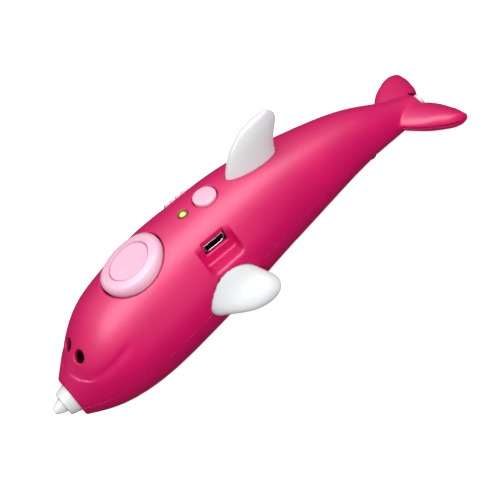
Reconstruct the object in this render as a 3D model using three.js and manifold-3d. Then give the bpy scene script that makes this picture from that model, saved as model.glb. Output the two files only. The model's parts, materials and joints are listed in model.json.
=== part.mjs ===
// A dolphin-shaped pen that draws with melted filament. Two shells hold a geared feed, a hot end,
// a lithium cell and a circuit board; buttons, a slide switch and a USB socket open on its back.
// Design frame, in millimetres: the nozzle axis runs along X with the nose at -X, the dolphin's left
// side is -Y and its back is +Z. The whole pen is then tilted to rest on its belly and tail flukes.
import * as THREE from 'three';
import { mergeVertices } from 'three/addons/utils/BufferGeometryUtils.js';
import Module from 'manifold-3d';

const wasm = await Module();
wasm.setup();

// ---- Driving dimensions -------------------------------------------------------------------------
const REST_TILT = THREE.MathUtils.degToRad(5.095); // tail down, so belly and flukes touch the table
const ORIGIN_X = 5.515; // design X that becomes the middle of the resting pen
const ORIGIN_Z = 3.675; // how far the tilted pen is lowered to stand on z = 0

// the body is round in section: a centre height and a radius at each station along X
const STATIONS = [-67, -60, -50, -38, -25, -10, 8, 25, 42, 56, 67, 76];
const CENTRES = [11.3, 13.5, 16.7, 18.9, 21.2, 22.8, 24.5, 24.3, 23.0, 20.4, 16.7, 14.4];
const RADII = [6.8, 11.7, 16.5, 18.6, 19.2, 18.5, 16.8, 14.4, 11.3, 8.4, 5.7, 3.6];
const NOSE_X = STATIONS[0];
const TAIL_X = 76;
const WALL = 1.8;
const GAP = 0.3; // between pieces that touch on the real pen
const SEAM = 0.15; // half of the parting gap between the two shells

const FLUKE_ROOT_X = 67;
const FLUKE_SLOPE = 0.25; // the flukes fall towards the tail

const FILAMENT_RADIUS = 0.9;
const FEED_Z = CENTRES[0]; // the filament and the nozzle share this height
const SCREW_RADIUS = 3;
const SCREW_PITCH = 2;
const SCREW_Z = FEED_Z + FILAMENT_RADIUS + SCREW_RADIUS;
const GEAR_MODULE = 0.4;
const SCREW_GEAR_TEETH = 12;
const DRIVE_GEAR_TEETH = 18;
const MOTOR_Z = SCREW_Z + (GEAR_MODULE * (SCREW_GEAR_TEETH + DRIVE_GEAR_TEETH)) / 2;
const GEAR_X = -28.75;
const ROLLER_RADIUS = 3.2;
const ROLLER_X = -36.5;
const ROLLER_Z = FEED_Z - FILAMENT_RADIUS - ROLLER_RADIUS;
const PIVOT_X = -43;

const BOARD_TOP = 33;
const BOARD_THICKNESS = 1;
const BOARD_BOTTOM = BOARD_TOP - BOARD_THICKNESS;

const FEED_BUTTON = { x: -30, along: 10.8, across: 9.3, lean: 9.8, stem: 2.6, travel: 0.8 };
const RETRACT_BUTTON = { x: -0.6, radius: 3.7, lean: -2, stem: 4.1, travel: 0.6 };
const BUTTON_GAP = 0.5;
const PLUNGER_RADIUS = 2;
const LED_X = -9;
const LED_RADIUS = 1.6;
const INLET_X = 78.2; // the end face of the filament inlet
const EYE_X = -58.4;
const EYE_ANGLE = 15.7;
const EYE_RADIUS = 2.1;

const RECESS = { x0: -14, x1: -1.9, y: -12, z0: 29.7, z1: 45, corner: 1.8, wall: 1.4 };
const USB = { x: -7.7, z: 34.65, width: 7.5, height: 2.7, front: -11, depth: 5, wall: 0.35 };
const SWITCH = { x0: -11.7, x1: -1.8, angle: 42, width: 3.2, travel: 1.7 };

const CELL = { x0: 5, length: 44, radius: 5, z: 24.5 };
const BOSSES = [[-50, 10], [14, 10], [52, 5]]; // screw posts, each on both sides
const BOARD_BOSSES = [[-18.5, 6.8], [5, -6.5]];

// ---- Curves -------------------------------------------------------------------------------------
// natural cubic spline through the stations
function spline(xs, ys) {
  const last = xs.length - 1;
  const bend = new Array(last + 1).fill(0);
  const sweep = new Array(last + 1).fill(0);
  for (let i = 1; i < last; i += 1) {
    const before = xs[i] - xs[i - 1];
    const after = xs[i + 1] - xs[i];
    const rise = (ys[i + 1] - ys[i]) / after - (ys[i] - ys[i - 1]) / before;
    const pivot = 2 * (before + after) - before * sweep[i - 1];
    sweep[i] = after / pivot;
    bend[i] = (6 * rise - before * bend[i - 1]) / pivot;
  }
  for (let i = last - 1; i > 0; i -= 1) bend[i] -= sweep[i] * bend[i + 1];
  return (x) => {
    let i = 0;
    while (i < last - 1 && x > xs[i + 1]) i += 1;
    const span = xs[i + 1] - xs[i];
    const a = (xs[i + 1] - x) / span;
    const b = 1 - a;
    const sag = ((a * a * a - a) * bend[i] + (b * b * b - b) * bend[i + 1]) * span * span;
    return a * ys[i] + b * ys[i + 1] + sag / 6;
  };
}

const centre = spline(STATIONS, CENTRES);
const radius = spline(STATIONS, RADII);
const flukeZ = (x) => CENTRES[10] - FLUKE_SLOPE * (x - FLUKE_ROOT_X);
const partingZ = (x) => (x < FLUKE_ROOT_X ? centre(x) : flukeZ(x));
const backZ = (x) => centre(x) + radius(x);

function steps(from, to, count) {
  return Array.from({ length: count + 1 }, (_, i) => from + ((to - from) * i) / count);
}

// ---- Geometry helpers ---------------------------------------------------------------------------
function facingOut(geometry) {
  const p = geometry.getAttribute('position');
  const index = geometry.index.array;
  const [a, b, c] = [new THREE.Vector3(), new THREE.Vector3(), new THREE.Vector3()];
  let volume = 0;
  for (let i = 0; i < index.length; i += 3) {
    a.fromBufferAttribute(p, index[i]);
    b.fromBufferAttribute(p, index[i + 1]);
    c.fromBufferAttribute(p, index[i + 2]);
    volume += a.dot(b.cross(c));
  }
  if (volume < 0) {
    for (let i = 0; i < index.length; i += 3) {
      [index[i], index[i + 1]] = [index[i + 1], index[i]];
    }
  }
  return geometry;
}

// turned solid about the X axis, from [x, radius] points
function turned(profile, segments = 20) {
  const points = profile.map(([x, r]) => new THREE.Vector2(r, x));
  const geometry = new THREE.LatheGeometry(points, segments);
  return facingOut(geometry.rotateZ(-Math.PI / 2));
}

// skin over a row of closed rings, with a fan over each end
function loft(rings) {
  const count = rings[0].length;
  const points = rings.flat();
  const middles = [rings[0], rings[rings.length - 1]].map((ring) => {
    const sum = ring.reduce((total, point) => total.add(point), new THREE.Vector3());
    return sum.divideScalar(count);
  });
  const index = [];
  for (let i = 0; i < rings.length - 1; i += 1) {
    for (let j = 0; j < count; j += 1) {
      const k = (j + 1) % count;
      const low = i * count;
      const high = low + count;
      index.push(low + j, low + k, high + j, low + k, high + k, high + j);
    }
  }
  const top = (rings.length - 1) * count;
  for (let j = 0; j < count; j += 1) {
    const k = (j + 1) % count;
    index.push(points.length, k, j, points.length + 1, top + j, top + k);
  }
  const geometry = new THREE.BufferGeometry().setFromPoints([...points, ...middles]);
  geometry.setIndex(index);
  return facingOut(geometry);
}

// outline in X and Z, extruded to both sides of y = middle
function slab(points, thickness, middle = 0, holes = []) {
  const shape = new THREE.Shape(points.map(([x, z]) => new THREE.Vector2(x, z)));
  for (const [x, z, r] of holes) {
    shape.holes.push(new THREE.Path().absarc(x, z, r, 0, 2 * Math.PI));
  }
  const settings = { depth: thickness, bevelEnabled: false, curveSegments: 6 };
  const geometry = new THREE.ExtrudeGeometry(shape, settings);
  return geometry.rotateX(Math.PI / 2).translate(0, middle + thickness / 2, 0);
}

function box(x0, x1, y0, y1, z0, z1) {
  const geometry = new THREE.BoxGeometry(x1 - x0, y1 - y0, z1 - z0);
  return geometry.translate((x0 + x1) / 2, (y0 + y1) / 2, (z0 + z1) / 2);
}

// cylinder along one axis, from one coordinate to another
function rod(axis, from, to, r, at, segments = 16) {
  const geometry = new THREE.CylinderGeometry(r, r, to - from, segments);
  if (axis === 'x') geometry.rotateZ(-Math.PI / 2);
  if (axis === 'z') geometry.rotateX(Math.PI / 2);
  const [u, v] = at;
  const middle = (from + to) / 2;
  const place = { x: [middle, u, v], y: [u, middle, v], z: [u, v, middle] }[axis];
  return geometry.translate(...place);
}

function wire(points, r) {
  const path = new THREE.CatmullRomCurve3(points.map((p) => new THREE.Vector3(...p)));
  const corners = steps(0, 5, 5).map((i) => (i * Math.PI) / 3);
  const shape = new THREE.Shape(
    corners.map((a) => new THREE.Vector2(r * Math.cos(a), r * Math.sin(a))),
  );
  return new THREE.ExtrudeGeometry(shape, { steps: 7, bevelEnabled: false, extrudePath: path });
}

function solid(geometry) {
  const plain = new THREE.BufferGeometry();
  plain.setAttribute('position', geometry.getAttribute('position').clone());
  if (geometry.index) plain.setIndex([...geometry.index.array]);
  const merged = mergeVertices(plain, 1e-4);
  const index = merged.index.array;
  const triangles = [];
  for (let i = 0; i < index.length; i += 3) {
    const [a, b, c] = index.slice(i, i + 3);
    if (a !== b && b !== c && c !== a) triangles.push(a, b, c);
  }
  return new wasm.Manifold(
    new wasm.Mesh({
      numProp: 3,
      vertProperties: new Float32Array(merged.getAttribute('position').array),
      triVerts: new Uint32Array(triangles),
    }),
  );
}

function surface(manifold) {
  const mesh = manifold.getMesh();
  const geometry = new THREE.BufferGeometry();
  geometry.setAttribute('position', new THREE.BufferAttribute(mesh.vertProperties, 3));
  geometry.setIndex(new THREE.BufferAttribute(mesh.triVerts, 1));
  return geometry;
}

const joined = (geometries) => geometries.map(solid).reduce((all, one) => all.add(one));
const without = (base, geometries) => geometries.map(solid).reduce((all, one) => all.subtract(one), base);
const cut = (geometry, tools) => surface(without(solid(geometry), tools));

// ---- Materials ----------------------------------------------------------------------------------
const finish = (color, roughness, metalness = 0) =>
  new THREE.MeshStandardMaterial({ color, roughness, metalness });
const PINK = finish(0xe0105f, 0.42);
const WHITE = finish(0xf6f6f4, 0.35);
const PALE_PINK = finish(0xf7bcd6, 0.38);
const GREEN_LENS = finish(0xd9f26a, 0.2);
const STEEL = finish(0xb9bcc0, 0.35, 1);
const BRASS = finish(0xc9a24a, 0.35, 1);
const CERAMIC = finish(0xf1efe9, 0.3);
const BLACK = finish(0x18181a, 0.5);
const BOARD_GREEN = finish(0x1d6b3c, 0.45);
const CELL_WRAP = finish(0x2f6fb5, 0.4);
const GREY_NYLON = finish(0xd8d8d4, 0.5);
const RED_WIRE = finish(0xc42020, 0.5);
const CLEAR_TUBE = finish(0xe9ecee, 0.3);

const pen = new THREE.Group();
pen.rotation.y = REST_TILT;
pen.position.set(-ORIGIN_X, 0, -ORIGIN_Z);

function add(name, geometry, material, parent = pen) {
  const mesh = new THREE.Mesh(geometry, material);
  mesh.name = name;
  parent.add(mesh);
  return mesh;
}

// ---- Fins ---------------------------------------------------------------------------------------
const RING_POINTS = 12;
const turn = (j) => (2 * Math.PI * j) / RING_POINTS;

// rows of [z, front x, rear x, thickness]; grow widens the fin all round, to cut its slot
function dorsalFin(grow) {
  const rows = [
    [36, 7.2, 25.6, 5.6], [40, 7.4, 25.9, 6.4], [44, 9.2, 27.4, 5.9], [47.5, 11.8, 29.6, 5.2],
    [50, 14.8, 30.2, 4.4], [51.8, 17.8, 29.4, 3.4], [52.9, 21.4, 27.8, 2],
  ];
  return loft(rows.map(([z, front, rear, thickness]) => Array.from({ length: RING_POINTS }, (_, j) => {
    const reach = (rear - front) / 2 + grow;
    const half = thickness / 2 + grow;
    return new THREE.Vector3((front + rear) / 2 + reach * Math.cos(turn(j)), half * Math.sin(turn(j)), z);
  })));
}

// rows of [distance from the mid-plane, front x, rear x, thickness]; side is -1 on the left
const FLIPPER_Z = 20.8;
const FLIPPER_DROOP = 0.3;
function flipper(side, grow) {
  const rows = [
    [14.2, -18.6, -3.6, 12.4], [17.5, -20.5, -1.5, 14.6], [19.5, -20, -0.4, 10.8], [22, -17.2, 0.6, 7.4],
    [24.2, -14.2, 0.8, 5.9], [26, -11.1, -0.2, 4.4], [27.1, -7.6, -2.2, 2.4],
  ];
  return loft(rows.map(([out, front, rear, thickness]) => Array.from({ length: RING_POINTS }, (_, j) => {
    const reach = (rear - front) / 2 + grow;
    const x = (front + rear) / 2 + reach * Math.cos(turn(j));
    const z = FLIPPER_Z - FLIPPER_DROOP * (out - 18) + (thickness / 2 + grow) * Math.sin(turn(j));
    return new THREE.Vector3(x, side * out, z);
  })));
}

// rows of [distance from the mid-plane, leading x, trailing x, thickness]
function flukes() {
  const half = [
    [0, 62.5, 77.4, 6.8], [2.6, 62.8, 78.8, 6.8], [4.4, 63.4, 80, 6.8], [7, 64.8, 81.4, 6.8],
    [10, 67.2, 82.3, 6.6], [13, 70.3, 83, 6.2], [15.4, 73.8, 83.1, 5.2], [17, 77, 82.3, 3.2],
  ];
  const span = [...half.slice(1).reverse().map(([y, ...rest]) => [-y, ...rest]), ...half];
  return loft(span.map(([y, front, rear, thickness]) => Array.from({ length: RING_POINTS }, (_, j) => {
    const x = (front + rear) / 2 + ((rear - front) / 2) * Math.cos(turn(j));
    return new THREE.Vector3(x, y, flukeZ(x) + (thickness / 2) * Math.sin(turn(j)));
  })));
}

// ---- Shells -------------------------------------------------------------------------------------
// a turned solid whose axis is then bent to follow the body's centre line
function bentBody(xs, radiusAt, segments) {
  const profile = [[xs[0], 0], ...xs.map((x) => [x, radiusAt(x)]), [xs[xs.length - 1], 0]];
  const geometry = turned(profile, segments);
  const p = geometry.getAttribute('position');
  for (let i = 0; i < p.count; i += 1) p.setZ(i, p.getZ(i) + centre(p.getX(i)));
  return geometry;
}

// what the upper shell (side 1) or the lower shell (side -1) leaves to the other
function otherHalf(side) {
  const edge = steps(-70, 86, 18).map((x) => [x, partingZ(x) + side * SEAM]);
  return solid(slab([...edge, [86, -side * 80], [-70, -side * 80]], 90));
}

// a tool placed on the dolphin's back and leaning with it
function onBack(geometry, x, lean) {
  geometry.rotateY(THREE.MathUtils.degToRad(-lean));
  return geometry.translate(x, 0, backZ(x));
}

function eyeHole(side) {
  const geometry = new THREE.CylinderGeometry(EYE_RADIUS, EYE_RADIUS, 12, 12);
  geometry.rotateX(Math.PI / 2).rotateY(THREE.MathUtils.degToRad(-36));
  geometry.rotateX(THREE.MathUtils.degToRad(-side * EYE_ANGLE));
  const angle = THREE.MathUtils.degToRad(EYE_ANGLE);
  const out = radius(EYE_X);
  return geometry.translate(EYE_X, side * out * Math.sin(angle), centre(EYE_X) + out * Math.cos(angle));
}

function recessOutline(grow) {
  const { x0, x1, z0, z1, corner } = RECESS;
  const r = corner + grow;
  const [left, right, low] = [x0 - grow, x1 + grow, z0 - grow];
  const shape = new THREE.Path();
  shape.moveTo(right, z1);
  shape.absarc(right - r, low + r, r, 0, -Math.PI / 2, true);
  shape.absarc(left + r, low + r, r, -Math.PI / 2, -Math.PI, true);
  shape.lineTo(left, z1);
  return shape.getPoints(3).map((p) => [p.x, p.y]);
}

function shells() {
  const outer = solid(bentBody(steps(NOSE_X, TAIL_X, 20), radius, 28));
  const inner = bentBody(steps(NOSE_X + WALL, 70, 12), (x) => radius(x) - WALL, 16);
  const pocket = slab(recessOutline(RECESS.wall), 30, RECESS.y + 2.4 - 15);
  let body = without(outer, [inner]).add(outer.intersect(solid(pocket)));
  body = body.add(solid(flukes()).subtract(solid(inner)));
  for (const [x, y] of BOSSES) {
    for (const side of [-1, 1]) {
      const post = solid(rod('z', 0, 50, 3.2, [x, side * y], 8));
      body = body.add(outer.intersect(post));
    }
  }
  for (const [x, y] of BOARD_BOSSES) {
    body = body.add(outer.intersect(solid(rod('z', BOARD_TOP + GAP, 50, 2, [x, y], 6))));
  }
  const split = [];
  for (const [x, y] of BOSSES) {
    const z = partingZ(x);
    for (const side of [-1, 1]) {
      split.push(rod('z', -5, z - 5, 2.3, [x, side * y], 10));
      split.push(rod('z', z - 6, z + 6, 1.2, [x, side * y], 6));
    }
  }
  const feedHole = ovalRod(FEED_BUTTON.along + BUTTON_GAP, FEED_BUTTON.across + BUTTON_GAP, 16);
  const retractHole = rod('z', -8, 8, RETRACT_BUTTON.radius + BUTTON_GAP, [0, 0], 18);
  const ports = [
    rod('x', NOSE_X - 3, NOSE_X + 6, 5.3, [0, FEED_Z], 24),
    rod('x', 68, 80, 2.2, [0, centre(74)], 12),
    rod('x', TAIL_X, 84, 2.8, [0, centre(74)], 12),
    eyeHole(-1),
    eyeHole(1),
    onBack(feedHole, FEED_BUTTON.x, FEED_BUTTON.lean),
    onBack(retractHole, RETRACT_BUTTON.x, RETRACT_BUTTON.lean),
    rod('z', BOARD_TOP + 2, 50, LED_RADIUS + 0.15, [LED_X, 0], 14),
    slab(recessOutline(0), 30, RECESS.y - 15),
    box(USB.x - 4.05, USB.x + 4.05, -20, USB.front, USB.z - 1.65, 45),
    box(USB.x - 4.05, USB.x + 4.05, -20, -8, USB.z - 1.65, USB.z + 1.65),
    dorsalFin(GAP),
    flipper(-1, GAP),
    flipper(1, GAP),
    switchTool(),
    ...BOARD_BOSSES.map(([x, y]) => rod('z', BOARD_TOP - 1, BOARD_TOP + 4.5, 0.9, [x, y], 6)),
  ];
  body = without(body, [...split, ...ports]);
  add('upper_shell', surface(body.subtract(otherHalf(1))), PINK);
  add('lower_shell', surface(body.subtract(otherHalf(-1))), PINK);
}

function ovalRod(along, across, height) {
  return rod('z', -height / 2, height / 2, 1, [0, 0], 24).scale(along, across, 1);
}

// the switch is built upright about the body's centre line, then swung to its side of the back
const switchMiddle = (SWITCH.x0 + SWITCH.x1) / 2;
const switchGroup = new THREE.Group();
switchGroup.rotation.x = THREE.MathUtils.degToRad(-SWITCH.angle);
switchGroup.position.set(0, 0, centre(switchMiddle));
pen.add(switchGroup);

function switchTool() {
  const half = SWITCH.width / 2;
  const tool = box(SWITCH.x0, SWITCH.x1, -half, half, 13, 24);
  tool.rotateX(switchGroup.rotation.x);
  return tool.translate(0, 0, switchGroup.position.z);
}

shells();
add('dorsal_fin', dorsalFin(0), WHITE);
add('left_flipper', flipper(-1, 0), WHITE);
add('right_flipper', flipper(1, 0), WHITE);

// ---- Buttons, lens and switch -------------------------------------------------------------------
// the cap is an oval with a raised rim and a dished middle; its edge drops to the sides with the body
function feedButton() {
  const { along, across, x, lean } = FEED_BUTTON;
  const skirt = -3.7;
  const shell = turned(
    [
      [-1.6, 0], [-2.2, 0.85], [skirt, 0.85], [skirt, 1], [-0.1, 1], [0.5, 0.94], [1.25, 0.7],
      [0.75, 0.64], [0.35, 0.5], [0.1, 0],
    ],
    24,
  ).rotateY(-Math.PI / 2);
  shell.scale(along, across, 1);
  const p = shell.getAttribute('position');
  const r = radius(x);
  for (let i = 0; i < p.count; i += 1) {
    const y = p.getY(i);
    p.setZ(i, p.getZ(i) - 0.5 * (r - Math.sqrt(r * r - y * y)));
  }
  const tabs = [-1, 1].map((end) => {
    const middle = end * (along + 0.1);
    return box(middle - 1, middle + 1, -2, 2, skirt, skirt + 0.5);
  });
  const stem = rod('z', -FEED_BUTTON.stem, -1.2, PLUNGER_RADIUS, [0, 0], 12);
  return onBack(surface(joined([facingOut(shell), ...tabs, stem])), x, lean);
}

function retractButton() {
  const { radius: r, stem } = RETRACT_BUTTON;
  const cap = turned(
    [[-stem, 0], [-stem, r + 1], [-3.2, r + 1], [-3.2, r], [-0.3, r], [0.2, 0.8 * r], [0.35, 0]],
    20,
  );
  return onBack(cap.rotateY(-Math.PI / 2), RETRACT_BUTTON.x, RETRACT_BUTTON.lean);
}

function ledLens() {
  const top = backZ(LED_X) + 0.1;
  const flange = top - WALL - 0.9;
  const lens = turned(
    [[flange - 2.2, 0], [flange - 2.2, LED_RADIUS], [flange - 1, LED_RADIUS], [flange - 1, LED_RADIUS + 0.7],
      [flange, LED_RADIUS + 0.7], [flange, LED_RADIUS], [top - 0.3, LED_RADIUS],
      [top, LED_RADIUS * 0.6], [top + 0.1, 0]],
    14,
  );
  return lens.rotateY(-Math.PI / 2).translate(LED_X, 0, 0);
}

function switchKnob() {
  const top = radius(switchMiddle) + 0.1;
  const x1 = SWITCH.x1 - GAP;
  const x0 = SWITCH.x0 + GAP + SWITCH.travel;
  const half = SWITCH.width / 2 - GAP;
  const ridge = (x) => box(x - 0.4, x + 0.6, -half, half, top - 0.5, top + 0.4);
  const ridges = steps(x0 + 0.5, x1 - 0.9, 3).map(ridge);
  const flange = box(x0 - 2.2, x1 + 2.2, -2.2, 2.2, 14.6, 15.4);
  const leg = box(switchMiddle + 0.2, switchMiddle + 2.2, -0.7, 0.7, 13.4, 15);
  return surface(joined([box(x0, x1, -half, half, 15, top), flange, leg, ...ridges]));
}

add('feed_button', feedButton(), PALE_PINK);
add('retract_button', retractButton(), PALE_PINK);
add('led_lens', ledLens(), GREEN_LENS);
add('speed_switch_knob', switchKnob(), PALE_PINK, switchGroup);
add(
  'slide_switch_body',
  cut(
    box(switchMiddle - 4.5, switchMiddle + 4.5, -1.9, 1.9, 10.2, 13.1),
    [box(switchMiddle - 3.2, switchMiddle + 3.2, -0.9, 0.9, 12.2, 14)],
  ),
  STEEL,
  switchGroup,
);

// ---- Nozzle and hot end -------------------------------------------------------------------------
const alongNozzle = (profile, segments) => turned(profile, segments).translate(0, 0, FEED_Z);

add(
  'nozzle_collar',
  alongNozzle(
    [
      [-70.6, 2.7], [-70.6, 3.8], [-70.2, 4.05], [-67, 5], [-63.8, 5], [-63.8, 6],
      [-62.2, 6], [-62.2, 4.1], [-66.4, 4.1], [-66.4, 2.7], [-70.6, 2.7],
    ],
    20,
  ),
  WHITE,
);
add(
  'nozzle_tip',
  alongNozzle(
    [
      [-74, 0.35], [-74, 1], [-73.7, 1.25], [-71.2, 2.35], [-66.3, 2.35], [-66.3, 0.9],
      [-71, 0.9], [-71.6, 0.35], [-74, 0.35],
    ],
    16,
  ),
  CERAMIC,
);
add('hot_end_tube', alongNozzle([[-66, 1], [-66, 2], [-47, 2], [-47, 1], [-66, 1]], 16), STEEL);
const sleeveProfile = [[-65.6, 2.3], [-65.6, 3.7], [-55, 3.7], [-55, 2.3], [-65.6, 2.3]];
add('heater_sleeve', alongNozzle(sleeveProfile, 16), BRASS);
add('thermistor_bead', rod('x', -61, -58, 0.8, [0, FEED_Z + 4.9], 8), BLACK);
const holder = cut(box(-53, -50.8, -6.4, 6.4, 5.5, 18.5), [rod('x', -55, -49, 2.3, [0, FEED_Z])]);
add('hot_end_holder', holder, GREY_NYLON);

// ---- Filament feed ------------------------------------------------------------------------------
const FRONT_PLATE = [-46.4, -44.8];
const REAR_PLATE = [-26, -24.2];
const FRAME_HALF = 7.6;
const FRAME_RAIL = 1.4;

function feedFrame() {
  const side = [
    [FRONT_PLATE[0], 5], [-40.6, 5], [-40.6, 12.4],
    [REAR_PLATE[1], 12.4], [REAR_PLATE[1], 18], [FRONT_PLATE[0], 18],
  ];
  const rails = [-1, 1].map((s) => slab(side, FRAME_RAIL, s * (FRAME_HALF - FRAME_RAIL / 2)));
  const front = box(...FRONT_PLATE, -FRAME_HALF, FRAME_HALF, 5, 18);
  const rear = box(...REAR_PLATE, -FRAME_HALF, FRAME_HALF, 6.5, 26.5);
  const frame = joined([...rails, front, rear]);
  return surface(without(frame, [
    rod('x', -48, -22, 1.25, [0, FEED_Z], 12),
    rod('x', -48, -22, 1.15, [0, SCREW_Z], 20),
    rod('x', -27, -22, 1.8, [0, MOTOR_Z], 20),
    rod('y', -9, 9, 0.85, [PIVOT_X, ROLLER_Z], 12),
  ]));
}

// shaft with a rounded helical thread that bites the filament
function feedScrew() {
  const thread = steps(-42.4, -31.6, 22);
  const geometry = turned(
    [
      [-46, 0], [-46, 1], [-42.8, 1], ...thread.map((x) => [x, SCREW_RADIUS - 0.35]),
      [-31.2, 1], [-24.7, 1], [-24.7, 0],
    ],
    12,
  );
  const p = geometry.getAttribute('position');
  for (let i = 0; i < p.count; i += 1) {
    const [x, y, z] = [p.getX(i), p.getY(i), p.getZ(i)];
    const r = Math.hypot(y, z);
    if (r > 2) {
      const phase = (2 * Math.PI * x) / SCREW_PITCH - Math.atan2(z, y);
      const scale = (r + 0.35 * Math.cos(phase)) / r;
      p.setXYZ(i, x, y * scale, z * scale);
    }
  }
  return geometry.translate(0, 0, SCREW_Z);
}

// spur gear about X with thin straight-sided teeth; phase turns it by a share of one tooth
function spurGear(teeth, bore, z, phase) {
  const pitchRadius = (GEAR_MODULE * teeth) / 2;
  const step = (2 * Math.PI) / teeth;
  const outline = [];
  for (let i = 0; i < teeth; i += 1) {
    for (const [share, rise] of [[-0.25, -0.45], [-0.1, 0.32], [0.1, 0.32], [0.25, -0.45]]) {
      const a = (i + share + phase) * step;
      outline.push(new THREE.Vector2((pitchRadius + rise) * Math.cos(a), (pitchRadius + rise) * Math.sin(a)));
    }
  }
  const shape = new THREE.Shape(outline);
  shape.holes.push(new THREE.Path().absarc(0, 0, bore, 0, 2 * Math.PI));
  const gear = new THREE.ExtrudeGeometry(shape, { depth: 2.5, bevelEnabled: false, curveSegments: 8 });
  return gear.rotateY(Math.PI / 2).translate(GEAR_X - 1.25, 0, z);
}

function idlerArm() {
  const outline = new THREE.Path();
  outline.absarc(PIVOT_X, ROLLER_Z, 1.5, Math.PI / 2, (3 * Math.PI) / 2, false);
  outline.lineTo(-31.2, 5.7);
  outline.lineTo(-31.2, 8.2);
  const points = outline.getPoints(5).map((p) => [p.x, p.y]);
  const plates = [-1, 1].map((s) => slab(points, 1.2, s * 3.4));
  const bar = box(-32.8, -31.2, -3.6, 3.6, 5.9, 8);
  return surface(without(joined([...plates, bar]), [
    rod('y', -9, 9, 0.95, [PIVOT_X, ROLLER_Z], 12),
    rod('y', -9, 9, 0.85, [ROLLER_X, ROLLER_Z], 12),
  ]));
}

function aboutY(profile, x, z, segments) {
  return turned(profile, segments).rotateZ(Math.PI / 2).translate(x, 0, z);
}

add('feed_frame', feedFrame(), GREY_NYLON);
add('feed_screw', feedScrew(), STEEL);
add('screw_gear', spurGear(SCREW_GEAR_TEETH, 1.3, SCREW_Z, 0.5), BRASS);
add('drive_gear', spurGear(DRIVE_GEAR_TEETH, 1.8, MOTOR_Z, 0), BRASS);
add('output_shaft', rod('x', -30.6, -22.6, 1.5, [0, MOTOR_Z], 20), STEEL);
add('idler_arm', idlerArm(), GREY_NYLON);
add('idler_axle', rod('y', -4.3, 4.3, 0.7, [ROLLER_X, ROLLER_Z], 10), STEEL);
add('idler_pivot_pin', rod('y', -7.5, 7.5, 0.7, [PIVOT_X, ROLLER_Z], 10), STEEL);
add(
  'idler_roller',
  aboutY(
    [[-2.2, 0.9], [-2.2, 3.2], [-0.9, 3.2], [0, 2.9], [0.9, 3.2], [2.2, 3.2], [2.2, 0.9], [-2.2, 0.9]],
    ROLLER_X,
    ROLLER_Z,
    16,
  ),
  BLACK,
);
add(
  'idler_spring',
  turned([[0, 1.1], [0, 1.6], [2, 1.6], [2, 1.1], [0, 1.1]], 12).rotateY(-Math.PI / 2).translate(-32, 0, 3.6),
  STEEL,
);

// ---- Motor --------------------------------------------------------------------------------------
// a round can flattened top and bottom
function motorSlice(x0, x1, r, flat) {
  const outline = new THREE.Path();
  const a = Math.asin(flat / r);
  outline.absarc(0, 0, r, -a, a, false);
  outline.absarc(0, 0, r, Math.PI - a, Math.PI + a, false);
  const shape = new THREE.Shape(outline.getPoints(5));
  const geometry = new THREE.ExtrudeGeometry(shape, { depth: x1 - x0, bevelEnabled: false });
  return geometry.rotateX(Math.PI / 2).rotateZ(Math.PI / 2).translate(x0, 0, MOTOR_Z);
}

const gearbox = box(-23.9, -15, -6, 6, MOTOR_Z - 5, MOTOR_Z + 5);
add('gearbox', cut(gearbox, [rod('x', -25, -22, 1.8, [0, MOTOR_Z], 20)]), BRASS);
add('motor_can', motorSlice(-14.7, 0, 6, 5), STEEL);
add('motor_end_cap', motorSlice(0.3, 2, 5.4, 4.4), BLACK);

// ---- Cell and filament guide --------------------------------------------------------------------
const CELL_END = CELL.x0 + CELL.length;
const alongCell = (profile, segments) => turned(profile, segments).translate(0, 0, CELL.z);

add(
  'battery_cell',
  alongCell(
    [
      [CELL.x0, 0], [CELL.x0, 1.8], [CELL.x0 + 0.8, 1.8], [CELL.x0 + 0.8, 4.6], [CELL.x0 + 1.2, 5],
      [CELL_END - 0.4, 5], [CELL_END, 4.6], [CELL_END, 0],
    ],
    20,
  ),
  CELL_WRAP,
);

function cradle() {
  const shape = new THREE.Shape();
  shape.absarc(0, 0, 6.4, 0, Math.PI, false);
  shape.absarc(0, 0, 5.3, Math.PI, 0, true);
  const geometry = new THREE.ExtrudeGeometry(shape, { depth: 30, bevelEnabled: false, curveSegments: 12 });
  return geometry.rotateX(-Math.PI / 2).rotateZ(-Math.PI / 2).translate(10, 0, CELL.z);
}
add('battery_cradle', cradle(), BLACK);

function guideTube() {
  const route = [
    [69.5, 15.7], [60, 17.2], [47, 16], [32, 14.6], [18, 12.9], [2, 11.5], [-12, FEED_Z], [-23.8, FEED_Z],
  ];
  const path = new THREE.CatmullRomCurve3(route.map(([x, z]) => new THREE.Vector3(x, 0, z)));
  const shape = new THREE.Shape(new THREE.Path().absarc(0, 0, 1.5, 0, 2 * Math.PI).getPoints(4));
  shape.holes.push(new THREE.Path(new THREE.Path().absarc(0, 0, 1, 0, 2 * Math.PI).getPoints(4)));
  return new THREE.ExtrudeGeometry(shape, { steps: 16, bevelEnabled: false, extrudePath: path });
}
add('guide_tube', guideTube(), CLEAR_TUBE);
add(
  'inlet_grommet',
  turned(
    [[71.6, 1.1], [71.6, 1.9], [76.4, 1.9], [76.4, 2.4], [INLET_X, 2.3], [INLET_X, 1.1], [71.6, 1.1]],
    20,
  ).translate(0, 0, centre(74)),
  WHITE,
);

// ---- Board and what it carries ------------------------------------------------------------------
function board() {
  const corners = [
    [-37, -7.5], [-31, -9.2], [8, -9.2], [8, 9.2], [1, 9.2], [1, 4.4], [-14.5, 4.4], [-14.5, 9.2],
    [-31, 9.2], [-37, 7.5],
  ];
  const shape = new THREE.Shape(corners.map(([x, y]) => new THREE.Vector2(x, y)));
  for (const [x, y] of BOARD_BOSSES) shape.holes.push(new THREE.Path().absarc(x, y, 1.2, 0, 2 * Math.PI));
  const settings = { depth: BOARD_THICKNESS, bevelEnabled: false, curveSegments: 6 };
  return new THREE.ExtrudeGeometry(shape, settings).translate(0, 0, BOARD_BOTTOM);
}

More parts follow.
